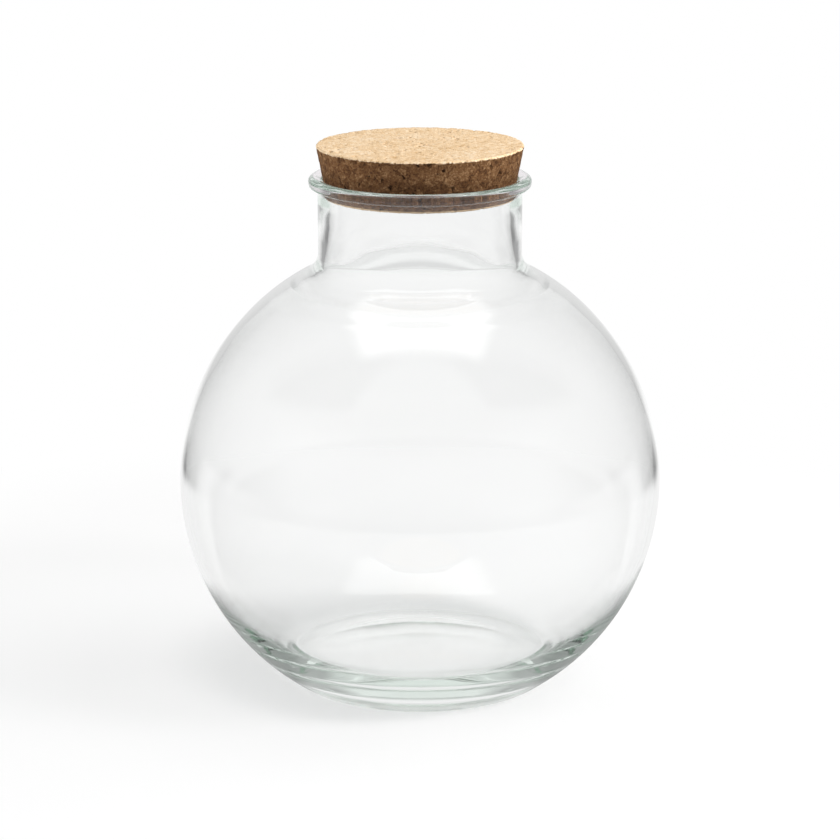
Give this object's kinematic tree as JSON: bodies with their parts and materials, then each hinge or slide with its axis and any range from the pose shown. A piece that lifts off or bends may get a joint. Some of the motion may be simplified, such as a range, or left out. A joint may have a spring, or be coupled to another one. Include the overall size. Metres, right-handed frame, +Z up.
{
  "type": "glass jar with cork lid",
  "caption": "Ball-shaped clear glass jar with a thick base, a short straight neck and a rolled rim, closed by a tapered cork stopper that lifts out.",
  "frame": {"origin": "centre of the base, on the plane that the jar stands on", "axes": "+Z up along the jar's axis; the jar is round about it, and the picture looks along +Y with +X to the right"},
  "size_m": [0.23, 0.23, 0.2577],
  "materials": {
    "clear_glass": "clear, fire polished",
    "pressed_cork": "matte pressed cork granules"
  },
  "bodies": {
    "jar": {"glass_jar": "clear_glass"},
    "lid": {"cork_stopper": "pressed_cork"}
  },
  "joints": [
    {"name": "lid_lift", "type": "slide", "parent": "jar", "child": "lid", "axis": [0, 0, 1], "range_m": [0, 0.12]}
  ]
}
